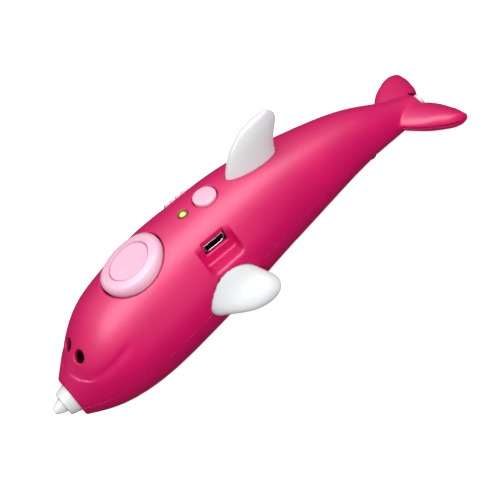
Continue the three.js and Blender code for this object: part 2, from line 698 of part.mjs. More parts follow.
// the plunger ends just short of its button's stem when the button is fully pressed
function tactSwitch({ x, lean, stem, travel }) {
  const seat = BOARD_TOP + GAP;
  const droop = stem + travel + 2 * PLUNGER_RADIUS * Math.sin(THREE.MathUtils.degToRad(Math.abs(lean)));
  const plungerTop = backZ(x) - droop - 0.1;
  const plunger = rod('z', seat + 2, plungerTop, PLUNGER_RADIUS, [x, 0], 12);
  return surface(joined([box(x - 3, x + 3, -3, 3, seat, seat + 2.2), plunger]));
}

function usbOutline(inset) {
  const { x, z, width, height } = USB;
  const [half, low, high] = [width / 2 - inset, z - height / 2 + inset, z + height / 2 - inset];
  return [
    [x - half, high], [x - half, z - 0.2], [x - half + 1, low],
    [x + half - 1, low], [x + half, z - 0.2], [x + half, high],
  ];
}

function usbShell() {
  const middle = USB.front + USB.depth / 2;
  const hollow = slab(usbOutline(USB.wall), USB.depth, middle - USB.wall);
  return cut(slab(usbOutline(0), USB.depth, middle), [hollow]);
}

function usbTongue() {
  const { x, z, front } = USB;
  const base = box(x - 2.6, x + 2.6, front + 3, front + 4.3, z - 0.6, z + 0.7);
  return surface(joined([base, box(x - 1.9, x + 1.9, front + 0.7, front + 3.5, z + 0.1, z + 0.65)]));
}

add('main_board', board(), BOARD_GREEN);
add('feed_tact_switch', tactSwitch(FEED_BUTTON), BLACK);
add('retract_tact_switch', tactSwitch(RETRACT_BUTTON), BLACK);
add('usb_shell', usbShell(), STEEL);
add('usb_tongue', usbTongue(), BLACK);
add('led_chip', box(LED_X - 1, LED_X + 1, -0.6, 0.6, BOARD_TOP + GAP, BOARD_TOP + 1.1), WHITE);
add('controller_chip', box(-26, -20, -3, 3, BOARD_BOTTOM - 1.3, BOARD_BOTTOM - GAP), BLACK);
add('charge_chip', box(-12, -8, -5, -2, BOARD_BOTTOM - 1.3, BOARD_BOTTOM - GAP), BLACK);
add('power_coil', rod('z', BOARD_BOTTOM - 2.4, BOARD_BOTTOM - GAP, 2.2, [-3, -1], 14), BLACK);

const screw = (head, shaft, reach, length) =>
  turned([[0, 0], [0, head], [1.3, head], [1.3, shaft], [length, shaft], [length + reach, 0]], 9);

BOARD_BOSSES.forEach(([x, y], i) => {
  const geometry = screw(1.8, 0.6, 0.5, 5).rotateY(-Math.PI / 2);
  add(`board_screw_${i + 1}`, geometry.translate(x, y, BOARD_BOTTOM - 1.6), STEEL);
});

BOSSES.forEach(([x, y], i) => {
  [-1, 1].forEach((side, j) => {
    const geometry = screw(2, 0.85, 0.6, 9).rotateY(-Math.PI / 2);
    add(`case_screw_${2 * i + j + 1}`, geometry.translate(x, side * y, partingZ(x) - 6.6), STEEL);
  });
});

// ---- Wires --------------------------------------------------------------------------------------
const WIRE_RADIUS = 0.45;
const wires = [
  ['battery_lead_red', RED_WIRE, [[4.3, 0.6, 24.5], [3.6, 2.4, 27], [4.6, 3, 30], [4.8, 3, 31.3]]],
  ['battery_lead_black', BLACK, [
    [47, -5.8, 24.4], [42, -6.1, 25], [32, -6.4, 27], [14, -5.4, 30], [8, -3.6, 31.3],
  ]],
  ['motor_lead_red', RED_WIRE, [
    [2.6, 2, 20.8], [3.2, 6.4, 22], [2.8, 7.6, 26], [2.4, 6.4, 30], [2.2, 6, 31.3],
  ]],
  ['motor_lead_black', BLACK, [
    [2.6, -2, 20.8], [3.2, -6.4, 22], [2, -7.6, 26], [1, -6.6, 30], [0.6, -6, 31.3],
  ]],
  ['heater_lead_a', RED_WIRE, [
    [-57, 4.4, 13.2], [-55.4, 4.8, 17], [-51.6, 4.2, 20.8], [-44, 5.2, 24], [-38, 6, 29], [-33.5, 6, 31.3],
  ]],
  ['heater_lead_b', BLACK, [
    [-57, -4.4, 13.2], [-55.4, -4.8, 17], [-51.6, -4.2, 20.8],
    [-44, -5.2, 24], [-38, -6, 29], [-33.5, -6, 31.3],
  ]],
];
for (const [name, material, route] of wires) add(name, wire(route, WIRE_RADIUS), material);

export default pen;
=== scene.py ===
"""A dolphin-shaped pen that draws with melted filament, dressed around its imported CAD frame.

Shapes are written in the pen's design frame, in millimetres: X runs along the nozzle with the nose at
-X, the dolphin's left side is -Y and its back is +Z. `to_table` tilts them onto the table and into metres.
The shells come from a signed distance field, so that every edge and joint has its own small fillet.
"""

import json
import math

import bpy
import numpy as np
from mathutils import Matrix, Vector


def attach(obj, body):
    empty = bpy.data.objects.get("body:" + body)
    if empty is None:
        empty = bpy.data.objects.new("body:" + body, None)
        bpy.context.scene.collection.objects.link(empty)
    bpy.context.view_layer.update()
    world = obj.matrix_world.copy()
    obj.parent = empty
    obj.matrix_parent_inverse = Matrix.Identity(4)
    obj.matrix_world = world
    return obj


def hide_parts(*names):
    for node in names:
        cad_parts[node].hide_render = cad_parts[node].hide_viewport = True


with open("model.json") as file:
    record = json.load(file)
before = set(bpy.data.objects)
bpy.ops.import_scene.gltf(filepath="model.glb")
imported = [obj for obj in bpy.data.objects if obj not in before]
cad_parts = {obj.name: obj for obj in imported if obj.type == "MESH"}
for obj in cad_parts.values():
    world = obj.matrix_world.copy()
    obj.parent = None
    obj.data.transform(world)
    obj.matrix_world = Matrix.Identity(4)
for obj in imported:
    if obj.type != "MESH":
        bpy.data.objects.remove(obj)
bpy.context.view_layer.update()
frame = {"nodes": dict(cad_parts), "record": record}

# ---- Driving dimensions, in mm and degrees -------------------------------------------------------
REST_TILT = math.radians(5.095)
ORIGIN_X = 5.515
ORIGIN_Z = 3.675

STATIONS = [-67, -60, -50, -38, -25, -10, 8, 25, 42, 56, 67, 76]
CENTRES = [11.3, 13.5, 16.7, 18.9, 21.2, 22.8, 24.5, 24.3, 23.0, 20.4, 16.7, 14.4]
RADII = [6.8, 11.7, 16.5, 18.6, 19.2, 18.5, 16.8, 14.4, 11.3, 8.4, 5.7, 3.6]
NOSE_X = -67.0
TAIL_X = 76.0
INLET_X = 78.2
WALL = 1.8
HOLLOW_END_X = 70.0
FIT = 0.12
NOZZLE_OPENING = 5.15
INLET_OPENING = 2.55
INLET_SEAT_X = 74
# half widths of the visible parting gap, and how far it lies below the centre line, in radii
SEAM = 0.015
SEAM_AT_NOSE = 0.09
SEAM_AT_FLUKES = 0.12
PARTING_DROP = 0.08

FLUKE_ROOT_X = 67.0
FLUKE_SLOPE = 0.25
FLUKE_Y = [0, 2.6, 4.4, 7, 10, 13, 15.4, 17, 17.6]
FLUKE_LEAD = [62.5, 62.8, 63.4, 64.8, 67.2, 70.3, 73.8, 77, 79.2]
FLUKE_TRAIL = [77.4, 78.8, 80, 81.4, 82.3, 83, 83.1, 82.3, 80.8]
FLUKE_THICKNESS = [6.8, 6.8, 6.8, 6.8, 6.6, 6.2, 5.2, 3.2, 1.2]

# rows of (height or distance out, front x, rear x, thickness), from root to tip
DORSAL_ROWS = [
    (36, 7.2, 25.6, 5.6), (40, 7.4, 25.9, 6.4), (44, 9.2, 27.4, 5.9), (47.5, 11.8, 29.6, 5.2),
    (50, 14.8, 30.2, 4.4), (51.8, 17.8, 29.4, 3.4), (52.8, 21.4, 28, 2.1), (53.1, 25, 25, 0),
]
DORSAL_SLOT_Z = 34
FLIPPER_ROWS = [
    (13.2, -18, -4.4, 11.4), (15.4, -19.6, -2.8, 13.2), (17.5, -20.5, -1.5, 14.6),
    (19.5, -20, -0.4, 10.8), (22, -17.2, 0.6, 7.4), (24.2, -14.2, 0.8, 5.9),
    (26, -11.1, -0.2, 4.4), (27, -8, -1.9, 2.6), (27.35, -4.9, -4.9, 0),
]
FLIPPER_SLOT_Y = 14
FLIPPER_Z = 20.8
FLIPPER_Z_AT_Y = 18
FLIPPER_DROOP = 0.3

# the face: angles are measured from the middle of the back, in degrees
LIP_ANGLES = [0, 16, 36, 50, 54, 60]
LIP_X = [-63.5, -63.1, -62.1, -60.3, -59.3, -57.6]
GROOVE_X = [-61, -59.3, -55.9, -53, -50, -44.9, -42]
GROOVE_ANGLE = [51, 54, 56.5, 58, 58, 56, 54.5]
LIP_DEPTH = 0.36
GROOVE_DEPTH = 0.42

FEED_Z = 11.3
FEED_BUTTON = dict(x=-30.0, along=10.8, across=9.3, lean=9.8, gap=0.45)
FEED_LINE = 0.64
RETRACT_BUTTON = dict(x=-0.6, radius=3.7, lean=-2.0, gap=0.3)
BUTTON_DEPTH = 8
LED_X = -9.0
LED_RADIUS = 1.6
LED_GAP = 0.08
BOSSES = [(-50, 10), (14, 10), (52, 5)]
BOSS = dict(radius=3.3, bore=2.3, seat=5)
EYE_X = -58.4
EYE_ANGLE = 15.7
EYE_RADIUS = 2.1
EYE_DEPTH = 5
EYE_LEAN = 36.0
RECESS = dict(x0=-14.0, x1=-1.9, y=-12.0, z0=29.7, corner=1.8, wall=1.4)
USB = dict(x=-7.7, z=34.65, width=7.5, height=2.7, front=-11.0, depth=5.0, wall=0.3)
SWITCH = dict(x0=-11.7, x1=-1.8, angle=42.0, width=3.2, floor=10, travel=1.7)


# ---- Curves --------------------------------------------------------------------------------------
def spline(xs, ys):
    """Natural cubic spline through the stations, as a function of an array."""
    xs, ys = np.array(xs, float), np.array(ys, float)
    h = np.diff(xs)
    n = len(xs)
    a = np.eye(n)
    b = np.zeros(n)
    for i in range(1, n - 1):
        a[i, i - 1:i + 2] = h[i - 1], 2 * (h[i - 1] + h[i]), h[i]
        b[i] = 6 * ((ys[i + 1] - ys[i]) / h[i] - (ys[i] - ys[i - 1]) / h[i - 1])
    m = np.linalg.solve(a, b)

    def value(x):
        x = np.asarray(x, float)
        i = np.clip(np.searchsorted(xs, x) - 1, 0, n - 2)
        t = (xs[i + 1] - x) / h[i]
        s = 1 - t
        sag = ((t ** 3 - t) * m[i] + (s ** 3 - s) * m[i + 1]) * h[i] ** 2 / 6
        return t * ys[i] + s * ys[i + 1] + sag
    return value


def table(function, lo, hi):
    """The same curve, read from a fine table, which is quicker on millions of points."""
    xs = np.linspace(lo, hi, int((hi - lo) / 0.02) + 1)
    ys = function(xs)
    return lambda x: np.interp(x, xs, ys)


centre = table(spline(STATIONS, CENTRES), -72, 86)
radius = table(spline(STATIONS, RADII), -72, 86)


def smooth_step(lo, hi, x):
    t = np.clip((x - lo) / (hi - lo), 0, 1)
    return t * t * (3 - 2 * t)


def fluke_z(x):
    return CENTRES[10] - FLUKE_SLOPE * (x - FLUKE_ROOT_X)


def parting_z(x):
    body_z = centre(x) - PARTING_DROP * radius(x) * smooth_step(NOSE_X, -60, x)
    return body_z + (fluke_z(x) - body_z) * smooth_step(60, FLUKE_ROOT_X, x)


def seam_at(x):
    """Half of the visible parting gap: a hairline on the body, wider at the nose and on the flukes."""
    at_nose = SEAM_AT_NOSE * (1 - smooth_step(-60, -52, x))
    return SEAM + at_nose + SEAM_AT_FLUKES * smooth_step(60, 66, x)


def back_z(x):
    return float(centre(x) + radius(x))


# ---- Signed distances ----------------------------------------------------------------------------
def soft_max(a, b, k):
    h = np.maximum(k - np.abs(a - b), 0) / k
    return np.maximum(a, b) + h * h * k / 4


def soft_min(a, b, k):
    return -soft_max(-a, -b, k)


def ellipse(u, v, a, b):
    """About the distance to an ellipse of half axes a and b."""
    k = np.sqrt((u / a) ** 2 + (v / b) ** 2) + 1e-6
    return (k - 1) * k / np.sqrt((u / a ** 2) ** 2 + (v / b ** 2) ** 2 + 1e-9)


def slab(value, lo, hi):
    return np.maximum(lo - value, value - hi)


def face_relief(x, angle, r):
    """How far the skin is sunk below the plain body: the lip over the beak, then the cheek's groove."""
    lip = x - np.interp(angle, LIP_ANGLES, LIP_X)
    fade = smooth_step(0, 24, angle) * (1 - smooth_step(46, 60, angle))
    reach = np.where(lip < 0, 0.45, 2.4)
    beak = LIP_DEPTH * np.exp(-(lip / reach) ** 2) * fade
    off = np.radians(angle - np.interp(x, GROOVE_X, GROOVE_ANGLE)) * r
    window = smooth_step(-60.5, -55.5, x) * (1 - smooth_step(-49, -42.5, x))
    wide = np.where(off < 0, 1.3, 1.8)
    return beak + GROOVE_DEPTH * window * np.exp(-(off / wide) ** 2)


def body(x, y, z, grow=0.0, relief=False):
    """The turned body, bent to its centre line."""
    dz = z - centre(x)
    r = np.hypot(y, dz)
    size = radius(x) + grow
    slope = (radius(x + 0.1) - radius(x - 0.1)) / 0.2
    slope = slope + (centre(x + 0.1) - centre(x - 0.1)) / 0.2 * dz / (r + 1e-6)
    if relief:
        angle = np.degrees(np.arctan2(np.abs(y), dz))
        size = size - np.where(x < -40, face_relief(x, angle, size), 0)
    return (r - size) / np.sqrt(1 + slope * slope)


fluke_lead = table(spline(FLUKE_Y, FLUKE_LEAD), 0, 18)
fluke_trail = table(spline(FLUKE_Y, FLUKE_TRAIL), 0, 18)
fluke_thickness = table(spline(FLUKE_Y, FLUKE_THICKNESS), 0, 18)


def flukes(x, y, z):
    out = np.minimum(np.abs(y), FLUKE_Y[-1])
    front, rear = fluke_lead(out), fluke_trail(out)
    shape = ellipse(x - (front + rear) / 2, z - fluke_z(x), (rear - front) / 2, fluke_thickness(out) / 2)
    return soft_max(shape * 0.9, np.abs(y) - FLUKE_Y[-1], 0.5)


def leaning(x, z, tool):
    """Coordinates along and across a tool that stands on the back and leans with it."""
    a = math.radians(tool["lean"])
    dx, dz = x - tool["x"], z - back_z(tool["x"])
    return dx * math.cos(a) + dz * math.sin(a), dz * math.cos(a) - dx * math.sin(a)


def eye_hole(x, y, z, side):
    a, b = math.radians(EYE_ANGLE), math.radians(EYE_LEAN)
    out = float(radius(EYE_X))
    p = [x - EYE_X, y - side * out * math.sin(a), z - float(centre(EYE_X)) - out * math.cos(a)]
    axis = Vector((-math.sin(b), side * math.cos(b) * math.sin(a), math.cos(b) * math.cos(a)))
    along = p[0] * axis.x + p[1] * axis.y + p[2] * axis.z
    across = np.sqrt(np.maximum(p[0] ** 2 + p[1] ** 2 + p[2] ** 2 - along ** 2, 0))
    return np.maximum(across - EYE_RADIUS, np.abs(along) - EYE_DEPTH)


def recess(x, y, z, grow=0.0):
    """The socket's recess: a rounded outline from the side, open above, with a soft inner corner."""
    half = (RECESS["x1"] - RECESS["x0"]) / 2 + grow
    corner = RECESS["corner"] + grow
    u = np.abs(x - (RECESS["x0"] + RECESS["x1"]) / 2) - half + corner
    v = RECESS["z0"] - grow - z + corner
    outline = np.hypot(np.maximum(u, 0), np.maximum(v, 0)) + np.minimum(np.maximum(u, v), 0) - corner
    return soft_max(outline, y - RECESS["y"] - grow, 0.9 if grow == 0 else 0.1)


def socket_notch(x, y, z):
    """The deeper square notch over the socket, and the socket's own pocket."""
    side = np.abs(x - USB["x"]) - 4.05
    low = USB["z"] - 1.65
    notch = np.maximum(np.maximum(side, y - USB["front"]), low - z)
    pocket = np.maximum(np.maximum(side, y + 8), np.abs(z - USB["z"]) - 1.65)
    return np.minimum(notch, pocket)


def fin_curves(rows):
    """The rows joined smoothly. The curves run on past the last row, the tip, so that the tip is round."""
    past = [(r[0], r[2], r[1], -r[3]) for r in rows[-2:-4:-1]]
    at = range(len(rows) + len(past))
    steps = np.linspace(0, len(rows) - 1.01, 90)
    return [spline(at, [r[i] for r in rows + past])(steps) for i in range(4)]


DORSAL = fin_curves(DORSAL_ROWS)
FLIPPER = fin_curves(FLIPPER_ROWS)


def fin_slot(curves, x, out, across):
    """The distance to a fin's outline at each distance out, with the clearance round it."""
    front, rear, thick = (np.interp(out, curves[0], c) for c in curves[1:])
    return ellipse(x - (front + rear) / 2, across, (rear - front) / 2 + FIT, thick / 2 + FIT)


def flipper_slot(x, y, z):
    out = np.abs(y)
    across = z - FLIPPER_Z + FLIPPER_DROOP * (out - FLIPPER_Z_AT_Y)
    return np.maximum(fin_slot(FLIPPER, x, out, across), FLIPPER_SLOT_Y - out)


def switch_slot(x, y, z):
    a = math.radians(SWITCH["angle"])
    dz = z - float(centre((SWITCH["x0"] + SWITCH["x1"]) / 2))
    across = y * math.cos(a) - dz * math.sin(a)
    up = y * math.sin(a) + dz * math.cos(a)
    along = slab(x, SWITCH["x0"], SWITCH["x1"])
    return np.maximum(np.maximum(along, np.abs(across) - SWITCH["width"] / 2), SWITCH["floor"] - up)


def shell_field(side, whole=False):
    """The upper shell (side 1) or the lower shell (side -1); whole leaves it uncut at the parting line."""
    def field(x, y, z):
        skin = soft_min(body(x, y, z, relief=True), flukes(x, y, z), 0.6)
        skin = soft_max(skin, NOSE_X - x, 0.5)
        skin = soft_max(skin, np.where(np.abs(y) < 4, x - TAIL_X - 0.6, -9.0), 0.5)
        hollow = np.maximum(body(x, y, z, grow=-WALL), slab(x, NOSE_X + WALL, HOLLOW_END_X))
        hollow = soft_max(hollow, -recess(x, y, z, grow=RECESS["wall"]), 0.2)
        holes = []
        if side < 0:
            for boss_x, boss_y in BOSSES:
                out = np.hypot(x - boss_x, np.abs(y) - boss_y)
                seat = float(centre(boss_x)) - BOSS["seat"]
                hollow = soft_max(hollow, BOSS["radius"] - out, 0.3)
                holes.append((np.maximum(out - BOSS["bore"], z - seat), 0.35))
        shell = soft_max(skin, -hollow, 0.2)
        if side > 0:
            u, w = leaning(x, z, FEED_BUTTON)
            gap = FEED_BUTTON["gap"]
            feed = ellipse(u, y, FEED_BUTTON["along"] + gap, FEED_BUTTON["across"] + gap)
            holes.append((np.maximum(feed, -BUTTON_DEPTH - w), 0.7))
            u, w = leaning(x, z, RETRACT_BUTTON)
            retract = np.hypot(u, y) - RETRACT_BUTTON["radius"] - RETRACT_BUTTON["gap"]
            holes.append((np.maximum(retract, -BUTTON_DEPTH - w), 0.7))
            holes.append((np.maximum(np.hypot(x - LED_X, y) - LED_RADIUS - LED_GAP, 30 - z), 0.25))
            holes.append((soft_min(eye_hole(x, y, z, -1), eye_hole(x, y, z, 1), 0.1), 0.25))
            holes.append((recess(x, y, z), 0.9))
            holes.append((socket_notch(x, y, z), 0.25))
            holes.append((switch_slot(x, y, z), 0.3))
            holes.append((np.maximum(fin_slot(DORSAL, x, z, y), DORSAL_SLOT_Z - z), 0.35))
        holes.append((flipper_slot(x, y, z), 0.35))
        holes.append((np.maximum(np.hypot(y, z - FEED_Z) - NOZZLE_OPENING, x - NOSE_X - 6), 0.3))
        inlet_z = float(centre(INLET_SEAT_X))
        holes.append((np.maximum(np.hypot(y, z - inlet_z) - INLET_OPENING, 68 - x), 0.3))
        for hole, k in holes:
            shell = soft_max(shell, -hole, k)
        if whole:
            return shell
        return soft_max(shell, side * (parting_z(x) - z) + seam_at(x), 0.05)
    return field


# ---- From a field to a mesh ----------------------------------------------------------------------
def gradient(field, p, h=0.02):
    g = np.empty_like(p)
    for i in range(3):
        d = np.zeros(3)
        d[i] = h
        q0, q1 = p - d, p + d
        g[:, i] = (field(q1[:, 0], q1[:, 1], q1[:, 2]) - field(q0[:, 0], q0[:, 1], q0[:, 2])) / (2 * h)
    return g


def surface_of(field, xs, ys, zs):
    """Surface nets: a point in each cell that the surface crosses, moved onto it, and quads between them."""
    inside = np.empty((len(xs), len(ys), len(zs)), bool)
    yy, zz = np.meshgrid(ys, zs, indexing="ij")
    for start in range(0, len(xs), 16):
        chunk = xs[start:start + 16]
        shape = (len(chunk),) + yy.shape
        x3 = np.broadcast_to(chunk[:, None, None], shape)
        y3, z3 = np.broadcast_to(yy, shape), np.broadcast_to(zz, shape)
        inside[start:start + 16] = field(x3, y3, z3) < 0
    corners = sum(
        inside[i:len(xs) - 1 + i, j:len(ys) - 1 + j, k:len(zs) - 1 + k].astype(np.int8)
        for i in (0, 1) for j in (0, 1) for k in (0, 1)
    )
    cells = np.argwhere((corners > 0) & (corners < 8))
    number = np.full(corners.shape, -1)
    number[tuple(cells.T)] = np.arange(len(cells))
    axes = (xs, ys, zs)
    low = np.stack([axes[i][cells[:, i]] for i in range(3)], 1)
    high = np.stack([axes[i][cells[:, i] + 1] for i in range(3)], 1)
    points = (low + high) / 2
    room = (high - low) * 0.2
    for _ in range(6):
        g = gradient(field, points)
        value = field(points[:, 0], points[:, 1], points[:, 2])
        step = g * (value / np.maximum((g * g).sum(1), 0.2))[:, None]
        points = np.clip(points - step, low - room, high + room)
    quads = []
    for axis in range(3):
        a, b = [slice(None)] * 3, [slice(None)] * 3
        a[axis], b[axis] = slice(0, -1), slice(1, None)
        crossing = np.argwhere(inside[tuple(a)] != inside[tuple(b)])
        u, v = (axis + 1) % 3, (axis + 2) % 3
        keep = (crossing[:, u] > 0) & (crossing[:, v] > 0)
        keep &= (crossing[:, u] < corners.shape[u]) & (crossing[:, v] < corners.shape[v])
        crossing = crossing[keep]
        ring = []
        for du, dv in ((-1, -1), (0, -1), (0, 0), (-1, 0)):
            cell = crossing.copy()
            cell[:, u] += du
            cell[:, v] += dv
            ring.append(number[tuple(cell.T)])
        ring = np.stack(ring, 1)
        leaving = inside[tuple(crossing.T)]
        ring[~leaving] = ring[~leaving][:, ::-1]
        quads.append(ring)
    normals = gradient(field, points)
    normals /= np.linalg.norm(normals, axis=1)[:, None] + 1e-9
    return points, np.concatenate(quads), normals


ON_TABLE = Matrix.Scale(0.001, 4) @ Matrix.Translation((-ORIGIN_X, 0, -ORIGIN_Z))
ON_TABLE = ON_TABLE @ Matrix.Rotation(REST_TILT, 4, "Y")


def to_table(points):
    m = np.array(ON_TABLE)
    return np.asarray(points, float) @ m[:3, :3].T + m[:3, 3]


def piece(name, points, faces, material, body_name, nodes=(), normals=None, sharp=35):
    """A mesh object from points in the design frame, riding on a body, with its faces turned outwards."""
    mesh = bpy.data.meshes.new(name)
    corners = np.array([(f[0], f[i], f[i + 1]) for f in faces for i in range(1, len(f) - 1)])
    a, b, c = (np.asarray(points)[corners[:, i]] for i in range(3))
    inside_out = np.einsum("ij,ij->", a - points[0], np.cross(b - points[0], c - points[0])) < 0
    turned_out = [list(map(int, f[::-1] if inside_out else f)) for f in faces]
    mesh.from_pydata(to_table(points).tolist(), [], turned_out)
    mesh.validate()
    mesh.update()
    thing = bpy.data.objects.new(name, mesh)
    bpy.context.scene.collection.objects.link(thing)
    mesh.materials.append(material)
    mesh.polygons.foreach_set("use_smooth", [True] * len(mesh.polygons))
    if normals is None:
        mesh.set_sharp_from_angle(angle=math.radians(sharp))
    else:
        turn = np.array(Matrix.Rotation(REST_TILT, 3, "Y"))
        mesh.normals_split_custom_set_from_vertices((normals @ turn.T).tolist())
    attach(thing, body_name)
    if nodes:
        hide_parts(*nodes)
    return thing


def spaced(*stretches):
    """Grid planes: each stretch is (from, to, spacing)."""
    planes = [np.arange(lo, hi, step) for lo, hi, step in stretches]
    return np.concatenate(planes + [[stretches[-1][1]]])


# ---- Lofts and turned pieces ---------------------------------------------------------------------
def loft(rings, looped=False):
    """Points and faces of a skin over closed rings, with a fan over each end unless the rings loop round."""
    rings = [np.asarray(r, float) for r in rings]
    count = len(rings[0])
    points = [p for r in rings for p in r]
    faces = []
    for i in range(len(rings) - (0 if looped else 1)):
        a, b = i * count, (i + 1) % len(rings) * count
        for j in range(count):
            k = (j + 1) % count
            faces.append((a + j, a + k, b + k, b + j))
    if looped:
        return np.array(points), faces
    points += [rings[0].mean(0), rings[-1].mean(0)]
    base, first, last = (len(rings) - 1) * count, len(points) - 2, len(points) - 1
    for j in range(count):
        k = (j + 1) % count
        faces.append((first, k, j))
        faces.append((last, base + j, base + k))
    return np.array(points), faces


def rounded(profile, radii, steps=5):
    """A [u, v] polyline with each corner rounded to its own radius."""
    points = [np.array(p, float) for p in profile]
    out = [points[0]]
    for i in range(1, len(points) - 1):
        p, a, b = points[i], points[i - 1] - points[i], points[i + 1] - points[i]
        la, lb = np.linalg.norm(a), np.linalg.norm(b)
        a, b = a / la, b / lb
        r = radii[i]
        half = math.acos(max(-1, min(1, float(a @ b)))) / 2
        if r <= 0 or half > 1.5:
            out.append(p)
            continue
        reach = min(r / math.tan(half), 0.48 * la, 0.48 * lb)
        p0, p1 = p + a * reach, p + b * reach
        for t in np.linspace(0, 1, steps + 1):
            out.append((1 - t) ** 2 * p0 + 2 * t * (1 - t) * p + t * t * p1)
    out.append(points[-1])
    return out


def turned(profile, place, segments=96, looped=False):
    """A turned solid: profile is [height, radius], and place puts (across, across, height) in the frame."""
    rings = []
    for h, r in profile:
        r = max(r, 1e-4)
        ring = []
        for j in range(segments):
            a = 2 * math.pi * j / segments
            ring.append(place(r * math.cos(a), r * math.sin(a), h))
        rings.append(ring)
    return loft(rings, looped)


def on_back(tool):
    a = math.radians(tool["lean"])

    def place(u, v, h):
        x = tool["x"] + u * math.cos(a) - h * math.sin(a)
        return (x, v, back_z(tool["x"]) + h * math.cos(a) + u * math.sin(a))
    return place


def along_x(z):
    return lambda u, v, h: (h, u, z + v)


# ---- Materials -----------------------------------------------------------------------------------
def linear(hex_colour):
    c = [int(hex_colour[i:i + 2], 16) / 255 for i in (0, 2, 4)]
    return [v / 12.92 if v <= 0.04045 else ((v + 0.055) / 1.055) ** 2.4 for v in c] + [1.0]


class Shader:
    """A small helper that keeps a material's node tree readable."""

    def __init__(self, name):
        self.material = bpy.data.materials.new(name)
        self.material.use_nodes = True
        self.tree = self.material.node_tree
        self.surface = self.tree.nodes["Principled BSDF"]
        self.place = self.node("ShaderNodeTexCoord").outputs["Object"]

    def node(self, kind, **values):
        n = self.tree.nodes.new(kind)
        for key, value in values.items():
            n.inputs[key].default_value = value
        return n

    def link(self, a, b):
        self.tree.links.new(a, b)

    def noise(self, scale, detail=3.0, roughness=0.5):
        n = self.node("ShaderNodeTexNoise", Scale=scale, Detail=detail, Roughness=roughness)
        self.link(self.place, n.inputs["Vector"])
        return n.outputs["Fac"]

    def ramp(self, source, stops):
        n = self.node("ShaderNodeValToRGB")
        ramp = n.color_ramp
        while len(ramp.elements) < len(stops):
            ramp.elements.new(0.5)
        for element, (at, colour) in zip(ramp.elements, stops):
            element.position = at
            element.color = colour
        self.link(source, n.inputs["Fac"])
        return n.outputs["Color"]

    def spread(self, source, lo, hi):
        n = self.node("ShaderNodeMapRange")
        n.inputs["To Min"].default_value = lo
        n.inputs["To Max"].default_value = hi
        self.link(source, n.inputs["Value"])
        return n.outputs["Result"]

    def bump(self, source, strength, distance):
        n = self.node("ShaderNodeBump", Strength=strength, Distance=distance)
        self.link(source, n.inputs["Height"])
        self.link(n.outputs["Normal"], self.surface.inputs["Normal"])

    def set(self, **values):
        for key, value in values.items():
            self.surface.inputs[key.replace("_", " ")].default_value = value


def moulded(name, colour, vary=0.06, roughness=(0.36, 0.44), relief=0.05, **values):
    """Injection-moulded plastic: a fine spark-eroded grain, faint flow marks and slightly uneven gloss."""
    s = Shader(name)
    base = linear(colour)
    dark = [c * (1 - vary) for c in base[:3]] + [1.0]
    light = [min(1, c * (1 + vary)) for c in base[:3]] + [1.0]
    s.link(s.ramp(s.noise(60, 4), [(0.35, dark), (0.65, light)]), s.surface.inputs["Base Color"])
    s.link(s.spread(s.noise(1400, 5, 0.6), *roughness), s.surface.inputs["Roughness"])
    s.bump(s.noise(5200, 3, 0.6), relief, 0.00004)
    s.set(**values)
    return s.material


def metal(name, colour, roughness=(0.22, 0.38)):
    s = Shader(name)
    base = linear(colour)
    dark = [c * 0.82 for c in base[:3]] + [1.0]
    s.link(s.ramp(s.noise(625, 4), [(0.3, dark), (0.7, base)]), s.surface.inputs["Base Color"])
    s.link(s.spread(s.noise(2500, 4), *roughness), s.surface.inputs["Roughness"])
    s.bump(s.noise(5000, 2), 0.08, 0.00003)
    s.set(Metallic=1.0)
    return s.material


PINK = moulded("pink_shell_plastic", "D90C63", roughness=(0.34, 0.40), Specular_IOR_Level=0.5,
               Subsurface_Weight=0.08, Subsurface_Scale=0.002)
WHITE = moulded("white_fin_plastic", "E7E9EB", vary=0.02, roughness=(0.28, 0.36), relief=0.03,
                Subsurface_Weight=0.15, Subsurface_Scale=0.003)
PALE = moulded("pale_pink_plastic", "F6BFD6", vary=0.03, roughness=(0.30, 0.38), relief=0.03,
               Subsurface_Weight=0.12, Subsurface_Scale=0.002)
STEEL = metal("nickel_plate", "C9CBCB", roughness=(0.18, 0.32))
BRIGHT = metal("polished_steel", "EDEFF0", roughness=(0.12, 0.2))
CERAMIC = moulded("white_ceramic", "EEEEE9", vary=0.02, roughness=(0.2, 0.3), relief=0.04)
# a dusky mauve that is painted shade: it darkens the feed button's groove as if the groove lay in shadow
GROOVE_SHADE = moulded("feed_groove_painted_shade", "B65F86", vary=0.06, roughness=(0.45, 0.55))
DARK = moulded("black_plastic", "141416", vary=0.2, roughness=(0.4, 0.55))
GREEN = moulded("green_lens_plastic", "CFE85A", vary=0.03, roughness=(0.12, 0.2), relief=0.02,
                Emission_Color=linear("DDF58A"), Emission_Strength=0.6)
# the lens rim's olive is painted glow: the lit core's light spreading through the lens, drawn as a plain
# colour
LENS_RIM_GLOW = moulded("lens_rim_painted_glow", "6C6612", vary=0.06, roughness=(0.3, 0.4))

# ---- Shells --------------------------------------------------------------------------------------
# the grid is fine at the face, the recess and the flukes, and coarser on the plain stretches between
FINE = 0.35
GRID_X = spaced((-68, -44, FINE), (-44, -21, FINE * 1.8), (-21, 1, FINE),
                (1, 62, FINE * 2.2), (62, 85, FINE * 1.2))
GRID_Y = spaced((-20, 20, FINE * 1.25))
GRID_REACH = 22.5


